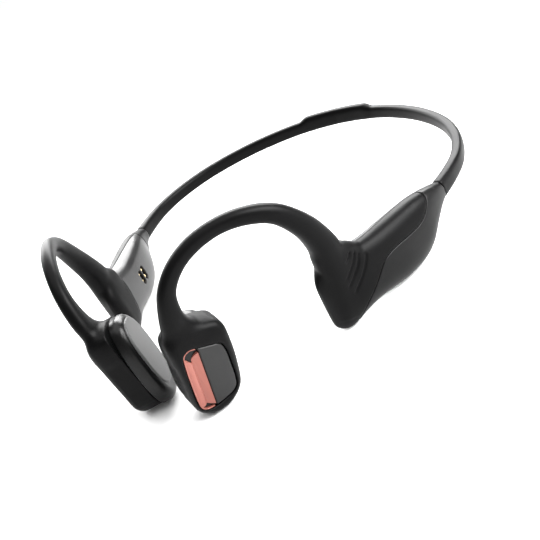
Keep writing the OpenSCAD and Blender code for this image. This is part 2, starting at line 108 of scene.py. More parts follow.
def to_ear(p):
    return (p - EAR_AT) @ EAR_TURN


def from_ear(p):
    return np.asarray(p, float) @ EAR_TURN.T + EAR_AT


# ---------------------------------------------------------------- distance fields

def smin(a, b, k):
    """The lower of two distances, blended over k where they are close."""
    h = np.clip(0.5 + 0.5 * (b - a) / k, 0, 1)
    return b + (a - b) * h - k * h * (1 - h)


def smax(a, b, k):
    """The higher of two distances, blended over k where they are close."""
    return -smin(-a, -b, k)


def oval_distance(x, y, rx, ry, e):
    """About how far a point is outside a rounded-square outline."""
    u, v = np.abs(x) / rx, np.abs(y) / ry
    g = np.maximum((u ** e + v ** e) ** (1 / e), 1e-6)
    gx, gy = (u / g) ** (e - 1) / rx, (v / g) ** (e - 1) / ry
    d = (g - 1) / np.maximum(np.sqrt(gx * gx + gy * gy), 1e-6)
    return np.maximum(d, -np.minimum(rx, ry))


def polygon_distance(q, outline):
    """Signed distance in the plane: below 0 inside a closed outline."""
    a = np.asarray(outline, float)
    b = np.roll(a, -1, axis=0)
    best = np.full(len(q), 1e9)
    inside = np.zeros(len(q), bool)
    for (ax, ay), (bx, by) in zip(a, b):
        ex, ey = bx - ax, by - ay
        wx, wy = q[:, 0] - ax, q[:, 1] - ay
        t = np.clip((wx * ex + wy * ey) / max(ex * ex + ey * ey, 1e-12), 0, 1)
        best = np.minimum(best, (wx - ex * t) ** 2 + (wy - ey * t) ** 2)
        if abs(ey) > 1e-12:
            crosses = (ay > q[:, 1]) != (by > q[:, 1])
            inside ^= crosses & (q[:, 0] < ax + ex * (q[:, 1] - ay) / ey)
    d = np.sqrt(best)
    return np.where(inside, -d, d)


class Outline:
    """Signed distance to a closed outline, kept on a fine grid."""

    def __init__(self, points, margin=4.0, step=0.1):
        p = np.asarray(points, float)
        self.low, self.step = p.min(0) - margin, step
        self.n = (np.ceil((p.max(0) + margin - self.low) / step)).astype(int) + 2
        g = np.stack(np.meshgrid(*[self.low[k] + step * np.arange(self.n[k]) for k in (0, 1)],
                                 indexing="ij"), -1)
        self.d = polygon_distance(g.reshape(-1, 2), p).reshape(self.n)

    def __call__(self, q):
        u = (q - self.low) / self.step
        c = np.clip(u, 0, self.n - 1.001)
        i = c.astype(int)
        f = c - i
        x, y = i[:, 0], i[:, 1]
        d = ((self.d[x, y] * (1 - f[:, 0]) + self.d[x + 1, y] * f[:, 0]) * (1 - f[:, 1])
             + (self.d[x, y + 1] * (1 - f[:, 0]) + self.d[x + 1, y + 1] * f[:, 0]) * f[:, 1])
        return d + np.sign(d) * np.linalg.norm(u - c, axis=1) * self.step


def flat_solid(d2, level, low, high, r):
    """A plate with edges rounded to r: d2 is the outline's distance in its plane."""
    a = d2 + r
    b = np.abs(level - (low + high) / 2) - (high - low) / 2 + r
    return np.minimum(np.maximum(a, b), 0) + np.hypot(np.maximum(a, 0), np.maximum(b, 0)) - r


class Sweep:
    """A rounded-square section carried along a path."""

    def __init__(self, rows, ref, e, step=0.4):
        r = spline(rows, 40)
        run = np.concatenate([[0], np.cumsum(np.linalg.norm(np.diff(r[:, :3], axis=0), axis=1))])
        place = np.linspace(0, run[-1], int(run[-1] / step) + 1)
        r = np.stack([np.interp(place, run, r[:, k]) for k in range(5)], -1)
        self.c, self.size, self.e = r[:, :3], r[:, 3:5], e
        t = np.gradient(self.c, axis=0)
        self.step = np.linalg.norm(t, axis=1)
        self.t = t / self.step[:, None]
        ref = np.asarray(ref, float)
        out = ref - (self.t @ ref)[:, None] * self.t
        self.b = out / np.linalg.norm(out, axis=1)[:, None]
        self.a = np.cross(self.b, self.t)

    def at(self, p):
        """Place in the nearest section, distance past an open end, and that section's half sizes."""
        i = np.empty(len(p), int)
        for k in range(0, len(p), 20000):
            q = p[k:k + 20000]
            d = (q ** 2).sum(1)[:, None] - 2 * q @ self.c.T + (self.c ** 2).sum(1)[None]
            i[k:k + 20000] = d.argmin(1)
        v = p - self.c[i]
        t = np.clip((v * self.t[i]).sum(1) / self.step[i], -0.5, 0.5)
        j = np.clip(i + np.where(t < 0, -1, 1), 0, len(self.c) - 1)
        f = np.abs(t)[:, None]

        def mix(x):
            return x[i] * (1 - f) + x[j] * f
        v = p - mix(self.c)
        beyond = np.where(i == 0, -1, 0) + np.where(i == len(self.c) - 1, 1, 0)
        across, out, past = [(v * mix(way)).sum(1) for way in (self.a, self.b, self.t)]
        return across, out, beyond * past, mix(self.size)

    def distance(self, p):
        a, b, beyond, size = self.at(p)
        d = oval_distance(a, b, size[:, 0], size[:, 1], self.e)
        return np.hypot(np.maximum(d, 0), np.maximum(beyond, 0)) + np.minimum(d, 0)


# ---------------------------------------------------------------- meshes from distance fields

def surface(field, low, high, h):
    """Quads on field(p) = 0 inside a box, with each corner moved onto the surface."""
    low, high = np.array(low, float), np.array(high, float)
    block = 4
    n = (np.ceil((high - low) / (h * block)).astype(int)) * block + 1
    axes = [low[k] + h * np.arange(n[k]) for k in range(3)]
    coarse = np.stack(np.meshgrid(*[a[::block] for a in axes], indexing="ij"), -1)
    cn = coarse.shape[:3]
    rough = field(coarse.reshape(-1, 3)).reshape(cn)
    cells = [c - 1 for c in cn]
    corner = np.stack([rough[i:i + cells[0], j:j + cells[1], k:k + cells[2]]
                       for i in (0, 1) for j in (0, 1) for k in (0, 1)], -1)
    near = (np.abs(corner).min(-1) < 1.9 * block * h)
    f = np.where(np.repeat(np.repeat(np.repeat(rough, block, 0), block, 1), block, 2)
                 [:n[0], :n[1], :n[2]] < 0, -1.0, 1.0)
    known = np.zeros(n, bool)
    bx, by, bz = np.nonzero(near)
    for i in range(block + 1):
        for j in range(block + 1):
            for k in range(block + 1):
                known[bx * block + i, by * block + j, bz * block + k] = True
    ix, iy, iz = np.nonzero(known)
    f[ix, iy, iz] = field(np.stack([axes[0][ix], axes[1][iy], axes[2][iz]], -1))
    f[f == 0] = 1e-9

    inside = f < 0
    count = sum(inside[i:n[0] - 1 + i, j:n[1] - 1 + j, k:n[2] - 1 + k].astype(np.int8)
                for i in (0, 1) for j in (0, 1) for k in (0, 1))
    cx, cy, cz = np.nonzero((count > 0) & (count < 8))
    number = np.full(n - 1, -1, np.int64)
    number[cx, cy, cz] = np.arange(len(cx))
    total, hits = np.zeros((len(cx), 3)), np.zeros(len(cx))
    for axis in range(3):
        step = np.eye(3, dtype=int)[axis]
        u, v = [np.eye(3, dtype=int)[a] for a in range(3) if a != axis]
        for du in (0, 1):
            for dv in (0, 1):
                o = du * u + dv * v
                fa = f[cx + o[0], cy + o[1], cz + o[2]]
                fb = f[cx + o[0] + step[0], cy + o[1] + step[1], cz + o[2] + step[2]]
                cut = (fa < 0) != (fb < 0)
                t = np.where(cut, fa / np.where(cut, fa - fb, 1), 0)
                total += cut[:, None] * (o[None] + t[:, None] * step[None])
                hits += cut
    p = low + h * (np.stack([cx, cy, cz], -1) + total / hits[:, None])
    for _ in range(3):
        v = field(p)
        g = np.stack([(field(p + e) - field(p - e)) / (0.1 * h)
                      for e in np.eye(3) * 0.05 * h], -1)
        move = -(v / np.maximum((g ** 2).sum(1), 0.05))[:, None] * g
        size = np.linalg.norm(move, axis=1, keepdims=True)
        p = p + move * np.minimum(1, 0.5 * h / np.maximum(size, 1e-9))

    quads = []
    for axis in range(3):
        step = np.eye(3, dtype=int)[axis]
        u, v = np.roll(step, 1), np.roll(step, 2)
        shape = n - step
        fa = f[:shape[0], :shape[1], :shape[2]]
        fb = f[step[0]:, step[1]:, step[2]:]
        ex, ey, ez = np.nonzero((fa < 0) != (fb < 0))
        e = np.stack([ex, ey, ez], -1)
        keep = ((e @ u) > 0) & ((e @ v) > 0) & ((e @ u) < (n @ u) - 1) & ((e @ v) < (n @ v) - 1)
        e = e[keep]
        ring = [e - u - v, e - v, e, e - u]
        q = np.stack([number[r[:, 0], r[:, 1], r[:, 2]] for r in ring], -1)
        flip = f[e[:, 0], e[:, 1], e[:, 2]] > 0
        q[flip] = q[flip][:, ::-1]
        quads.append(q[(q >= 0).all(1)])
    return p, np.concatenate(quads)


def make(name, points, faces, side, mats, angle=None):
    """A mesh object from side-frame millimetres; the right side is the mirror."""
    p = np.asarray(points, float).copy()
    faces = [tuple(int(i) for i in f) for f in faces]
    if side == "right":
        p[:, 0] *= -1
        faces = [f[::-1] for f in faces]
    p = (p + LIFT) * MM
    mesh = bpy.data.meshes.new(name)
    mesh.from_pydata([tuple(v) for v in p], [], faces)
    mesh.validate()
    for m in mats:
        mesh.materials.append(m)
    mesh.polygons.foreach_set("use_smooth", [True] * len(mesh.polygons))
    if angle:
        mesh.set_sharp_from_angle(angle=math.radians(angle))
    obj = bpy.data.objects.new(name, mesh)
    bpy.context.scene.collection.objects.link(obj)
    return obj


# ---------------------------------------------------------------- shapes of the left side

# A pod along its length: [distance forward, top, bottom, out, in, shift outwards]
POD_ROWS = spline([
    [0, 2.2, -2.4, 1.8, 1.8, 0], [3, 3.3, -3.5, 2.4, 2.3, 0.3], [6.5, 4.3, -6, 3.1, 3.1, 0.4],
    [10, 4.9, -9, 3.7, 3.9, 0.3], [14, 5.2, -10.6, 4, 4.4, 0.1], [20, 5.5, -10.8, 4.2, 4.7, -0.2],
    [26, 5.8, -10, 4.1, 4.6, -0.6], [31, 6.6, -9.6, 3.9, 4.3, -1.1], [35, 7.6, -10.2, 3.6, 3.8, -1.7],
    [38, 7.8, -10.95, 3.1, 3.2, -2.2], [40.2, 6.5, -10.6, 2.7, 2.8, -2.5],
    [42.3, 4, -9.4, 1.5, 1.5, -2.9]], 10)
POD_END = 42.3
WALL = 1.3
NECK_END = 6.0
# How far inwards the parting plane between a pod's outer and inner shells lies
PARTING = 0.9

# The ear hook from the pod to the transducer: [x, y, z, half width, half thickness]
HOOK = Sweep([
    [34.8, -35.1, -7.5, 3.2, 2.2], [35.3, -34.6, -4.5, 3.6, 2.7], [35.9, -34.4, 3, 3.8, 3.2],
    [36.2, -34.3, 8.5, 3.85, 3.2], [36.45, -35.1, 13, 3.25, 2.95], [35.9, -37.4, 18.9, 2.7, 2.55],
    [33.7, -40.9, 24.7, 2.25, 2.15], [30.3, -44.9, 27.8, 2, 1.85], [26.1, -49.3, 29.1, 1.8, 1.7],
    [21.9, -54, 28.6, 1.8, 1.7], [18.3, -58, 26.35, 1.8, 1.7], [15.5, -60.9, 22.35, 1.95, 1.8],
    [13.8, -61.95, 17, 2.65, 2], [12.6, -61.5, 12, 3.8, 2.1], [11.7, -60.9, 7, 4.3, 2.1]],
    [0.88, -0.47, 0], 2.3)

# Edge of the soft cover on a pod's outer face: [distance forward, z]
SEAM = spline([
    [8.6, 9], [8, 6], [7.3, 4.4], [8.1, 2.8], [10.4, 1.0], [13.2, -0.1], [17, -0.1], [22.3, 0.2],
    [25.7, -0.2], [27.7, -1.2], [30, -3.2], [32.1, -5.1], [34.5, -7.1], [37, -9.9], [39, -14]], 4)
COVER_REGION = np.vstack([SEAM, [[55, -14], [55, 30], [8.6, 30]]])

# The transducer from the side: [back, up]
SHELL_OUTLINE = closed_spline([
    [-1.6, 4], [-2, 9], [-1.2, 12.1], [2.5, 13.4], [7.4, 13.1], [11.2, 10.9], [12.1, 5],
    [12, -2], [11, -7.2], [7.2, -10.2], [2.7, -10.3], [-0.5, -7.3], [-1.1, -2]], 4)
SHELL_DEPTH, FACE = 6.4, -10.2
PLATE_OUTLINE = closed_spline([
    [0.0, 5.4], [0.35, 8.0], [1.5, 8.85], [2.6, 8.9], [4.4, 8.25], [7.0, 7.4], [9.1, 6.45], [9.9, 4.2],
    [10.05, 0.5], [10.1, -3.6], [9.7, -5.8], [8.3, -7.0], [6.0, -7.6], [3.9, -7.9], [1.8, -7.8],
    [0.45, -6.8], [0.0, -4.8], [-0.1, 0]], 4)
# The opening for the transducer's works, and the skin pad
WORKS_MIDDLE = [5.2, 2]
PAD_MIDDLE = [4.8, 2.3]
# How far out, down and forward the soft cover may reach
OUT_LIMIT, DOWN_LIMIT, FRONT_LIMIT = 52.88, -11.05, -66.57

# Four faint grooves on a pod's outer face: [distance forward, z]
GROOVES = [spline(g, 5) for g in (
    [[33.7, 6.8], [34.3, 6.2], [35.2, 5.7]],
    [[32.4, 5.9], [33.6, 4.6], [35.2, 3.4], [37.0, 2.2]],
    [[31.6, 4.8], [33.0, 3.2], [35.0, 1.6], [37.2, 0.1]],
    [[30.0, 3.6], [31.8, 1.7], [33.9, -0.3], [36.3, -2.2]])]
GROOVE_DEPTH, GROOVE_WIDTH = 0.26, 0.32

# Charging slots in the right pod: distances forward, z, half length, radius
SLOT_AT = (20.7, 23.3)
SLOT_Z, SLOT_HALF, SLOT_R = -2.3, 1.3, 0.95
CONTACT_Z = (-3.45, -1.15)

COVER = Outline(COVER_REGION, 20, 0.15)
SHELL = Outline(SHELL_OUTLINE, 8, 0.12)
PLATE = Outline(PLATE_OUTLINE, 4, 0.06)


def pod_distance(q, inset=0.0):
    """Distance to a pod's long surface."""
    s = q[:, 0]
    top, bottom, out, inn, off = [np.interp(s, POD_ROWS[:, 0], POD_ROWS[:, k]) for k in range(1, 6)]
    x = q[:, 1] - off
    ry = (top - bottom) / 2 - inset
    rx = np.where(x > 0, out, inn) - inset
    return oval_distance(x, q[:, 2] - (top + bottom) / 2, np.maximum(rx, 0.2), np.maximum(ry, 0.2), 2.5)


def pod_whole(q):
    return np.maximum(smax(pod_distance(q), q[:, 0] - POD_END, 1.8), -q[:, 0])


def pod_hollow(q):
    """The room inside a pod, for the battery or the board."""
    return np.maximum(np.maximum(pod_distance(q, WALL), q[:, 0] - 33), NECK_END - q[:, 0])


def behind_edge(q):
    """Above 0 in front of the line where the soft cover starts on the inner face."""
    return (q[:, 0] - 31.8) * 0.984 + (q[:, 2] - 12) * 0.178


def cover_area(q):
    """Below 0 where the soft cover lies: the seam bounds it outside, a straight edge inside."""
    outer, inner, n = COVER(q[:, [0, 2]]), -behind_edge(q), q[:, 1] + PARTING
    return np.minimum(np.maximum(outer, inner), np.minimum(np.maximum(outer, -n), np.maximum(inner, n)))


def line_distance(q, lines):
    """Distance in the plane to the nearest of several open lines."""
    best = np.full(len(q), 1e9)
    for points in lines:
        for a, b in zip(points[:-1], points[1:]):
            e = b - a
            t = np.clip(((q - a) @ e) / (e @ e), 0, 1)
            best = np.minimum(best, np.linalg.norm(q - a - t[:, None] * e, axis=1))
    return best


def superoval(q, middle, half, e=2.8):
    return oval_distance(q[:, 0] - middle[0], q[:, 1] - middle[1], half[0], half[1], e)


def cover_body(p):
    """Pod, hook and transducer shell as one soft body, with its grooves."""
    q, e = to_pod(p), to_ear(p)
    # The hook flows into the pod, most softly in the fork behind it
    soft = 1.0 + 6.5 * np.exp(-((q[:, 0] - 30) / 4.5) ** 2 - ((q[:, 2] - 8.5) / 4.5) ** 2)
    body = smin(pod_whole(q), HOOK.distance(p), soft)
    shell = flat_solid(SHELL(e[:, 1:3]), e[:, 0], -SHELL_DEPTH - 6, 0, 1.9)
    shell = smax(shell, 0.8 * (e[:, 2] + 0.75 * e[:, 0] - 11.9), 3.2)
    shell = smax(shell, -(e[:, 0] + SHELL_DEPTH), 0.3)
    body = smin(body, shell, 2.4)
    groove = line_distance(q[:, [0, 2]], GROOVES)
    body = body + GROOVE_DEPTH * np.exp(-(groove / GROOVE_WIDTH) ** 2) * (q[:, 1] > -0.8)
    body = smax(smax(body, p[:, 0] - OUT_LIMIT, 0.6), DOWN_LIMIT - p[:, 2], 0.4)
    body = smax(body, FRONT_LIMIT - p[:, 1], 0.4)
    return body, q, e


def cover_field(p):
    """The soft cover, open for the pod's room, the works and the touch plate."""
    body, q, e = cover_body(p)
    body = smax(body, cover_area(q) + 0.05, 0.25)
    body = np.maximum(body, -pod_hollow(q))
    socket = flat_solid(superoval(e[:, 1:3], WORKS_MIDDLE, [5.9, 10.4]), e[:, 0], -20, -1.8, 0.1)
    recess = flat_solid(PLATE(e[:, 1:3]) - 0.16, e[:, 0], -1.25, 6, 0.1)
    return smax(np.maximum(body, -socket), -recess, 0.22)


def rear_field(p):
    """A pod's hard shell: the neck, and the outer face behind the seam."""
    q = to_pod(p)
    keep = np.minimum(q[:, 0] - NECK_END, np.maximum(-q[:, 1] - PARTING, -COVER(q[:, [0, 2]])))
    bore = oval_distance(q[:, 2], q[:, 1], 1.3, 0.7, 3)
    bore = np.maximum(bore, q[:, 0] - NECK_END - 1)
    body = smax(pod_whole(q), keep + 0.05, 0.25)
    return np.maximum(np.maximum(body, -pod_hollow(q)), -bore)


def slots_distance(q):
    out = np.full(len(q), 1e9)
    for x in SLOT_AT:
        along = np.maximum(np.abs(q[:, 2] - SLOT_Z) - SLOT_HALF, 0)
        out = np.minimum(out, np.hypot(q[:, 0] - x, along) - SLOT_R)
    return np.maximum(out, q[:, 1] + 1)


def inner_field(with_slots):
    """A pod's inner shell, with the charging slots or without."""
    def field(p):
        q = to_pod(p)
        keep = np.maximum(np.maximum(q[:, 1] + PARTING, NECK_END - q[:, 0]), behind_edge(q))
        body = smax(pod_whole(q), keep + 0.04, 0.2)
        body = np.maximum(body, -pod_hollow(q))
        if with_slots:
            body = smax(body, -slots_distance(q), 0.25)
        return body
    return field


def case_field(p):
    """The transducer's case: a wide front, a plug into the cover, and the room inside."""
    e = to_ear(p)
    yz = e[:, 1:3]
    wide = flat_solid(superoval(yz, [4.95, 1.05], [6.2, 11.9]), e[:, 0], FACE, -SHELL_DEPTH + 4, 2.2)
    wide = smax(wide, e[:, 0] + SHELL_DEPTH + 0.08, 0.15)
    plug = flat_solid(superoval(yz, WORKS_MIDDLE, [5.8, 10.3]), e[:, 0], -8, -2.6, 0.2)
    room = flat_solid(superoval(yz, WORKS_MIDDLE, [5.1, 9.6]), e[:, 0], FACE + 0.9, 2, 0.2)
    return np.maximum(np.minimum(wide, plug), -room)


def pad_field(p):
    """The crowned pad that lies on the skin."""
    e = to_ear(p)
    d2 = superoval(e[:, 1:3], PAD_MIDDLE, [5.0, 9.2])
    rise = FACE - 0.35 + 0.004 * (e[:, 1] - 4.7) ** 2 + 0.0012 * (e[:, 2] - 1) ** 2
    d = smax(d2, rise - e[:, 0], 0.5)
    return np.maximum(d, e[:, 0] - FACE - 0.3)


def touch_field(p):
    """The touch plate, slightly crowned, with a chamfer round its edge."""
    e = to_ear(p)
    d2 = smax(PLATE(e[:, 1:3]), 3.85 - e[:, 1], 0.15)
    top = -0.02 - 0.004 * (e[:, 1] - 7) ** 2 - 0.0015 * e[:, 2] ** 2
    chamfer = (d2 + e[:, 0] - top + 0.32) * 0.707
    return smax(smax(smax(d2, e[:, 0] - top, 0.06), chamfer, 0.08), -1.15 - e[:, 0], 0.05)


def trim_height(y):
    """Outward level of the strip: a half-round bar, a valley, then a flat facet up to the plate."""
    bar = -1.0 + 0.72 * np.sqrt(np.clip(1 - ((y - 0.85) / 1.15) ** 2, 0, 1))
    facet = -0.85 + (y - 1.9) * 0.4
    return np.maximum(bar, facet)


def trim_field(p):
    """The coloured strip: its bar and facet, a thin rim round them and a base."""
    e = to_ear(p)
    y, z = e[:, 1], e[:, 2]
    d2 = np.maximum(PLATE(e[:, 1:3]) + 0.05, y - 3.75)
    # Mitred ends: straight across the bar, and a rounded corner on the facet
    top_bar, top_facet = 7.9 - 1.35 * y, 5.9 + 1.15 * np.sqrt(np.clip(y - 1.85, 0, 2))
    low_bar, low_facet = -6.6 + 0.15 * y, -5.9 - 0.95 * np.sqrt(np.clip(y - 1.85, 0, 2))
    top = np.where(y < 1.85, top_bar, top_facet)
    low = np.where(y < 1.85, low_bar, low_facet)
    bar = np.maximum(np.maximum(z - top, low - z), e[:, 0] - trim_height(y))
    rim = np.maximum(-(PLATE(e[:, 1:3]) + 0.32), e[:, 0] + 0.3)
    rim = np.maximum(rim, y - 3.4)
    base = e[:, 0] + 1.12
    d = np.minimum(np.minimum(bar, rim), base)
    return smax(smax(d, d2, 0.06), -1.2 - e[:, 0], 0.05)


def trim_ends_field(p):
    """Black ends of the trim strip."""
    e = to_ear(p)
    y, z = e[:, 1], e[:, 2]
    d2 = np.maximum(PLATE(e[:, 1:3]) + 0.36, y - 3.72)
    high = np.abs(z - 0.8) - 4.5
    d = np.maximum(d2, -high)
    return np.maximum(np.maximum(d, e[:, 0] + 0.88), -1.1 - e[:, 0])


# ---------------------------------------------------------------- materials

def material(name, colour, rough=0.5, metal=0.0, spread=0.06, grain=3200.0, grain_depth=0.02,
             patch=0.12, coat=0.0, specular=0.5, edge=0.0, streak=(1, 1, 1)):
    """Procedural finish: patches in colour and roughness, fine grain in colour and bump, and, where edge is
    above 0, a painted highlight that lightens sharp edges.
    """
    m = bpy.data.materials.new(name)
    m.use_nodes = True
    nt = m.node_tree
    nt.nodes.clear()

    def node(kind, **inputs):
        n = nt.nodes.new(kind)
        for key, value in inputs.items():
            n.inputs[key.replace("_", " ")].default_value = value
        return n

    def link(a, b):
        nt.links.new(a, b)
    out = node("ShaderNodeOutputMaterial")
    bsdf = node("ShaderNodeBsdfPrincipled", Metallic=metal, IOR=1.5)
    bsdf.inputs["Coat Weight"].default_value = coat
    bsdf.inputs["Coat Roughness"].default_value = 0.12
    bsdf.inputs["Specular IOR Level"].default_value = specular
    link(bsdf.outputs[0], out.inputs[0])
    where = node("ShaderNodeTexCoord")
    mapping = node("ShaderNodeMapping")
    mapping.inputs["Scale"].default_value = streak
    link(where.outputs["Object"], mapping.inputs[0])
    cloud = node("ShaderNodeTexNoise", Scale=90.0, Detail=4.0, Roughness=0.55)
    fine = node("ShaderNodeTexNoise", Scale=grain, Detail=3.0, Roughness=0.6)
    link(mapping.outputs[0], cloud.inputs["Vector"])
    link(mapping.outputs[0], fine.inputs["Vector"])

    def ramp(source, low, high):
        r = nt.nodes.new("ShaderNodeValToRGB")
        r.color_ramp.elements[0].position = 0.3
        r.color_ramp.elements[1].position = 0.7
        r.color_ramp.elements[0].color = (*low, 1)
        r.color_ramp.elements[1].color = (*high, 1)
        link(source, r.inputs[0])
        return r.outputs[0]
    dark = tuple(c * (1 - patch) for c in colour)
    light = tuple(min(1, c * (1 + patch)) for c in colour)
    tint = ramp(cloud.outputs["Fac"], dark, light)
    speck = nt.nodes.new("ShaderNodeMix")
    speck.data_type, speck.blend_type = "RGBA", "MULTIPLY"
    speck.inputs[0].default_value = 0.6
    link(tint, speck.inputs[6])
    link(ramp(fine.outputs["Fac"], (0.82,) * 3, (1.0,) * 3), speck.inputs[7])
    colour_out = speck.outputs[2]
    # Painted highlight: sharp edges, found by pointiness, get a lighter colour as though light caught them.
    if edge:
        geo = node("ShaderNodeNewGeometry")
        edge_highlight = nt.nodes.new("ShaderNodeMix")
        edge_highlight.data_type, edge_highlight.blend_type = "RGBA", "MIX"
        at_edge = nt.nodes.new("ShaderNodeMapRange")
        at_edge.inputs[1].default_value, at_edge.inputs[2].default_value = 0.52, 0.62
        at_edge.inputs[4].default_value = edge
        link(geo.outputs["Pointiness"], at_edge.inputs[0])
        link(at_edge.outputs[0], edge_highlight.inputs[0])
        link(colour_out, edge_highlight.inputs[6])
        edge_highlight.inputs[7].default_value = (*[min(1, c * 2.2 + 0.02) for c in colour], 1)
        colour_out = edge_highlight.outputs[2]
    link(colour_out, bsdf.inputs["Base Color"])
    polish = nt.nodes.new("ShaderNodeMapRange")
    polish.inputs[3].default_value, polish.inputs[4].default_value = rough - spread, rough + spread
    link(cloud.outputs["Fac"], polish.inputs[0])
    link(polish.outputs[0], bsdf.inputs["Roughness"])
    bump = node("ShaderNodeBump", Strength=0.5, Distance=grain_depth * MM)
    link(fine.outputs["Fac"], bump.inputs["Height"])
    link(bump.outputs[0], bsdf.inputs["Normal"])
    return m


SILICONE = material("silicone", (0.001, 0.001, 0.0011), 0.42, spread=0.05, grain=5200, grain_depth=0.012,
                    edge=0.1, specular=0.08)
SHELL_PLASTIC = material("shell_plastic", (0.002, 0.002, 0.0021), 0.36, grain=6500, grain_depth=0.012,
                         edge=0.35, specular=0.14)
INNER_PLASTIC = material("inner_plastic", (0.007, 0.007, 0.007), 0.3, grain=6500, grain_depth=0.01, edge=0.3,
                         specular=0.26)
GLOSS_BLACK = material("gloss_black", (0.002, 0.002, 0.002), 0.3, spread=0.04, grain=900, grain_depth=0.002,
                       specular=0.2)
PAD = material("pad_silicone", (0.045, 0.045, 0.045), 0.5, grain=5200, grain_depth=0.01, edge=0.1,
               specular=0.4)
PLATE_PLASTIC = material("plate_plastic", (0.007, 0.007, 0.0071), 0.36, grain=7000, grain_depth=0.006,
                         edge=0.8, specular=0.3)
CORAL = material("coral_trim", (0.27, 0.087, 0.066), 0.34, metal=0.5, patch=0.05, grain=2500,
                 grain_depth=0.004, streak=(1, 1, 0.08), coat=0.25)
TITANIUM = material("titanium", (0.5, 0.48, 0.45), 0.34, metal=1.0, patch=0.08, grain=2600, grain_depth=0.003)
CABLE = material("cable", (0.02, 0.02, 0.02), 0.45, grain=2400)
STEEL = material("steel", (0.58, 0.58, 0.58), 0.28, metal=1.0, patch=0.06, grain=2600, grain_depth=0.003)
MAGNET = material("magnet", (0.42, 0.42, 0.44), 0.24, metal=1.0, patch=0.06, grain=1800, grain_depth=0.003)
COPPER = material("copper", (0.68, 0.3, 0.14), 0.32, metal=1.0, grain=5200, grain_depth=0.03)
BOARD = material("circuit_board", (0.015, 0.1, 0.05), 0.4, grain=1500, grain_depth=0.01, coat=0.3)
FOIL = material("cell_foil", (0.6, 0.6, 0.62), 0.3, metal=1.0, grain=800, grain_depth=0.03)
GOLD = material("gold_pins", (0.9, 0.72, 0.4), 0.2, metal=1.0, patch=0.04, grain=2600, grain_depth=0.002)
SLOT_MATERIALS = {
    "silicone": SILICONE, "shell_plastic": SHELL_PLASTIC, "inner_plastic": INNER_PLASTIC,
    "gloss_black": GLOSS_BLACK, "pad_silicone": PAD, "plate_plastic": PLATE_PLASTIC, "coral_trim": CORAL,
    "titanium": TITANIUM, "cable": CABLE, "steel": STEEL, "magnet": MAGNET, "copper": COPPER,
    "circuit_board": BOARD, "cell_foil": FOIL, "gold_pins": GOLD}
for part in frame["record"]["subparts"]:
    obj = frame["nodes"][part["node"]]
    obj.data.materials.clear()
    obj.data.materials.append(SLOT_MATERIALS[part["material_slot"]])


# ---------------------------------------------------------------- neck band

BAND_ROWS = [[0, 55.6], [8, 54.9], [16, 52.95], [23.7, 49.7], [31.1, 45.3], [38.2, 39.4], [44.2, 32.4],
             [48.8, 23.7], [51.1, 14.6], [51, 6.6], [50, 0]]
half_line = spline(BAND_ROWS, 14)
half_line = np.vstack([half_line[:-1], [[50.01, 0.07]]])
line = np.vstack([half_line[:0:-1] * [-1, 1], half_line])
middle = len(half_line) - 1
ALONG = np.gradient(line, axis=0)
ALONG /= np.linalg.norm(ALONG, axis=1)[:, None]
run = np.concatenate([[0], np.cumsum(np.linalg.norm(np.diff(half_line, axis=0), axis=1))])
to_end = np.concatenate([(run[-1] - run)[:0:-1], run[-1] - run])
CENTRE_HALF = 14.5


def soft_step(t):
    t = np.clip(t, 0, 1)
    return t * t * (3 - 2 * t)


def band_rings(sides, ring):
    """Rings round the band's line; ring gives half depth and z for each angle at each place."""
    t = np.arange(sides) * 2 * np.pi / sides
    c, s = np.cos(t), np.sin(t)
    rows = []
    for i, (x, y) in enumerate(line):
        out = np.array([-ALONG[i][1], ALONG[i][0]])
        depth, z = ring(i, c, s)
        rows.append(np.column_stack([x + depth * out[0], y + depth * out[1], z]))
    return np.array(rows)


def band_skin(i, c, s):
    """The band's soft surface: raised in the middle, thicker towards the pods."""
    raised = soft_step((CENTRE_HALF - 0.6 - abs(line[i][0])) / 3.4)
    grow = max(0.0, 1 - to_end[i] / 30) ** 2
    ends = 1 - 0.05 * max(0.0, 1 - to_end[i] / 0.4) ** 2
    depth = (1.45 + 0.25 * raised + 0.1 * grow + 0.08 * max(0.0, 1 - to_end[i] / 45)) * ends
    low = (2.05 + 0.35 * grow) * ends
    high = (2 + 0.4 * grow + 1.15 * raised) * ends
    e = 2 / 3.1
    x = np.sign(c) * np.abs(c) ** e * depth
    z = np.sign(s) * np.abs(s) ** e
    return x, np.where(z > 0, z * high, z * low)


def strand(offset, r):
    """A round core at a height in the band."""
    def ring(i, c, s):
        return c * r, offset + s * r
    return ring


def halves(name, rings, mats, replaced):
    """Two pieces, one on each side of the middle."""
    sides = rings.shape[1]
    du = np.gradient(rings, axis=0)
    dv = np.roll(rings, -1, axis=1) - np.roll(rings, 1, axis=1)
    normal = np.cross(du, dv)
    normal /= np.maximum(np.linalg.norm(normal, axis=2, keepdims=True), 1e-12)
    for side, rows in (("left", slice(middle, None)), ("right", slice(0, middle + 1))):
        r, nrm = rings[rows], normal[rows]
        n = len(r)
        faces = [(i * sides + k, (i + 1) * sides + k,
                  (i + 1) * sides + (k + 1) % sides, i * sides + (k + 1) % sides)
                 for i in range(n - 1) for k in range(sides)]
        centre = [r[0].mean(0), r[-1].mean(0)]
        points = np.vstack([r.reshape(-1, 3), centre])
        a, b = n * sides, n * sides + 1
        faces += [(a, k, (k + 1) % sides) for k in range(sides)]
        faces += [(b, (n - 1) * sides + (k + 1) % sides, (n - 1) * sides + k) for k in range(sides)]
        obj = make(name + "_" + side, points, faces, "left", mats)
        every = np.vstack([nrm.reshape(-1, 3), [[0, 0, 1], [0, 0, 1]]])
        loops = np.empty(len(obj.data.loops), int)
        obj.data.loops.foreach_get("vertex_index", loops)
        custom = every[loops]
        for f in obj.data.polygons:
            if len(f.vertices) == 3:
                for k in f.loop_indices:
                    custom[k] = f.normal
        obj.data.normals_split_custom_set([tuple(v) for v in custom])
        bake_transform(obj)
        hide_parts(*replaced)


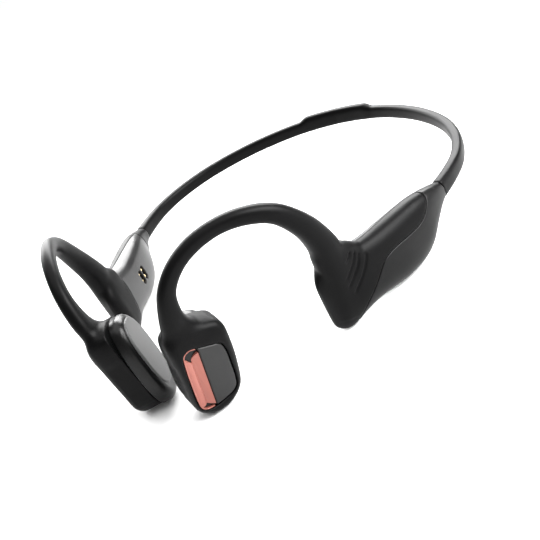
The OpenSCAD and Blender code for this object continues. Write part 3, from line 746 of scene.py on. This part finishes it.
halves("band_skin", band_rings(36, band_skin), [SILICONE],
       ["band_centre_cover", "left_band_sleeve", "right_band_sleeve"])
halves("band_wire", band_rings(12, strand(0.65, 0.5)), [TITANIUM], ["band_core_wire"])
halves("band_lead", band_rings(10, strand(-0.7, 0.35)), [CABLE], ["band_cable"])


# ---------------------------------------------------------------- the two sides

FINE = 1.0


def both_sides(name, field, low, high, h, mats, node, smooth_angle=None):
    """One piece and its mirror, each riding with its side and standing for its CAD node."""
    points, faces = surface(field, low, high, h * FINE)
    for side in ("left", "right"):
        obj = make(side + "_" + name, points, faces, side, mats, angle=smooth_angle)
        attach(obj, side + "_side")
        if node:
            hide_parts(side + "_" + node)


def box_of(points, margin):
    """Lowest and highest corners round some points."""
    p = np.asarray(points, float)
    return p.min(0) - margin, p.max(0) + margin


def corners(xs, ys, zs):
    """The eight corners of a block."""
    return [[x, y, z] for x in xs for y in ys for z in zs]


ear_corners = from_ear(corners((-10.6, 0.5), (-3, 13), (-12, 16)))
pod_corners = from_pod(corners((0, 42), (-7, 5), (-11.5, 8.5)))
hook_points = np.array([[4, -69, -11.4], [41, -27, 31.6]])
low, high = box_of(np.vstack([hook_points, pod_corners]), 0.6)
both_sides("hook_skin", cover_field, np.maximum(low, [-1, -72, -11.8]), np.minimum(high, [53, 3, 32.2]),
           0.28, [SILICONE], "hook_cover")
low, high = box_of(pod_corners, 0.8)
both_sides("rear_shell_skin", rear_field, low, high, 0.22, [SHELL_PLASTIC], "pod_rear_shell")
for side, slots in (("left", False), ("right", True)):
    points, faces = surface(inner_field(slots), low, high, 0.2 * FINE)
    obj = make(side + "_inner_shell_skin", points, faces, side, [INNER_PLASTIC])
    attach(obj, side + "_side")
    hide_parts(side + "_pod_inner_shell")


def contacts_field(p):
    """Four gilt contacts at the bottom of the charging slots."""
    q = to_pod(p)
    out = np.full(len(q), 1e9)
    for x in SLOT_AT:
        for z in CONTACT_Z:
            radial = np.hypot(q[:, 0] - x, q[:, 2] - z)
            out = np.minimum(out, flat_solid(radial - 0.55, q[:, 1], -4.55, -2.6, 0.35))
    return out


low, high = box_of(from_pod(corners((19.5, 24.5), (-4.7, -2.5), (-4.2, -0.4))), 0.3)
points, faces = surface(contacts_field, low, high, 0.14 * FINE)
contacts = make("right_charging_contacts", points, faces, "right", [GOLD])
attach(contacts, "right_side")
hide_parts("charging_pins")
low, high = box_of(ear_corners, 1.0)
both_sides("case_skin", case_field, low, high, 0.25, [GLOSS_BLACK], "module_case")
low, high = box_of(from_ear(corners((-11, -9.6), (-1.5, 11), (-10, 12))), 0.5)
both_sides("skin_pad_skin", pad_field, low, high, 0.2, [PAD], "skin_pad")
low, high = box_of(from_ear(corners((-1.3, 0.4), (3.5, 10.5), (-8.2, 9.2))), 0.3)
both_sides("touch_skin", touch_field, low, high, 0.13, [PLATE_PLASTIC], "touch_plate")
low, high = box_of(from_ear(corners((-1.3, 0.4), (-0.3, 4), (-8.2, 9.2))), 0.3)
both_sides("trim_skin", trim_field, low, high, 0.1, [CORAL], "trim_strip", 40)
both_sides("trim_ends", trim_ends_field, low, high, 0.12, [GLOSS_BLACK], None, 40)


# ---------------------------------------------------------------- floor, light and camera

def plain(name, colour, rough):
    """A plain finish for the floor."""
    m = bpy.data.materials.new(name)
    m.use_nodes = True
    b = m.node_tree.nodes["Principled BSDF"]
    b.inputs["Base Color"].default_value = (*colour, 1)
    b.inputs["Roughness"].default_value = rough
    b.inputs["Specular IOR Level"].default_value = 0.2
    return m


bpy.ops.mesh.primitive_plane_add(size=60, location=(0, 0, -0.0001))
floor = bpy.context.object
floor.name = "floor"
floor.data.materials.append(plain("floor_paper", (0.68, 0.68, 0.68), 0.9))


def softbox(name, way, distance, size, radiance):
    """A rectangular light that faces the object from a direction."""
    way = Vector(way).normalized()
    light = bpy.data.lights.new(name, "AREA")
    light.shape, light.size, light.size_y = "RECTANGLE", size[0], size[1]
    light.energy = radiance * math.pi * size[0] * size[1]
    obj = bpy.data.objects.new(name, light)
    bpy.context.scene.collection.objects.link(obj)
    obj.location = way * distance + Vector((0, 0, 0.02))
    obj.rotation_euler = way.to_track_quat("Z", "Y").to_euler()
    obj.visible_camera = False


sun = bpy.data.lights.new("overhead", "SUN")
sun.energy = 2.6
sun.angle = 1.2
bpy.context.scene.collection.objects.link(bpy.data.objects.new("overhead", sun))
softbox("back", (-0.35, 0.85, 0.5), 0.9, (0.8, 0.4), 20.0)
softbox("left", (-0.85, 0.42, 0.32), 0.9, (0.5, 0.4), 14.0)
softbox("right", (0.8, 0.15, 0.55), 0.8, (0.55, 0.45), 25.0)
world = bpy.data.worlds.new("studio")
bpy.context.scene.world = world
world.use_nodes = True
world.cycles.sampling_method = "NONE"
sky = world.node_tree
# White all round, a little darker where it is seen in a reflection
reflected = sky.nodes["Background"]
reflected.inputs[0].default_value = (1, 1, 1, 1)
reflected.inputs[1].default_value = 0.4
direct = sky.nodes.new("ShaderNodeBackground")
direct.inputs[0].default_value = (1, 1, 1, 1)
direct.inputs[1].default_value = 0.6
path = sky.nodes.new("ShaderNodeLightPath")
pick = sky.nodes.new("ShaderNodeMixShader")
sky.links.new(path.outputs["Is Glossy Ray"], pick.inputs[0])
sky.links.new(direct.outputs[0], pick.inputs[1])
sky.links.new(reflected.outputs[0], pick.inputs[2])
sky.links.new(pick.outputs[0], sky.nodes["World Output"].inputs[0])

cam_data = bpy.data.cameras.new("camera")
cam_data.lens, cam_data.sensor_width = 50, 36
cam_data.clip_start, cam_data.clip_end = 0.01, 100
camera = bpy.data.objects.new("camera", cam_data)
bpy.context.scene.collection.objects.link(camera)
forward, right_way, up_way = [Vector(v).normalized() for v in (
    (-0.5712, 0.6637, -0.4829), (0.8167, 0.4010, -0.4149), (0.0817, 0.6314, 0.7711))]
turn = Matrix((right_way, up_way, -forward)).transposed()
CAMERA_AT = Vector((119.07, -149.89, 90.08))
camera.matrix_world = Matrix.Translation(CAMERA_AT * MM + Vector(LIFT) * MM) @ turn.to_4x4()
bpy.context.scene.camera = camera
bpy.context.scene.view_settings.view_transform = "Standard"
bpy.context.scene.view_settings.look = "None"
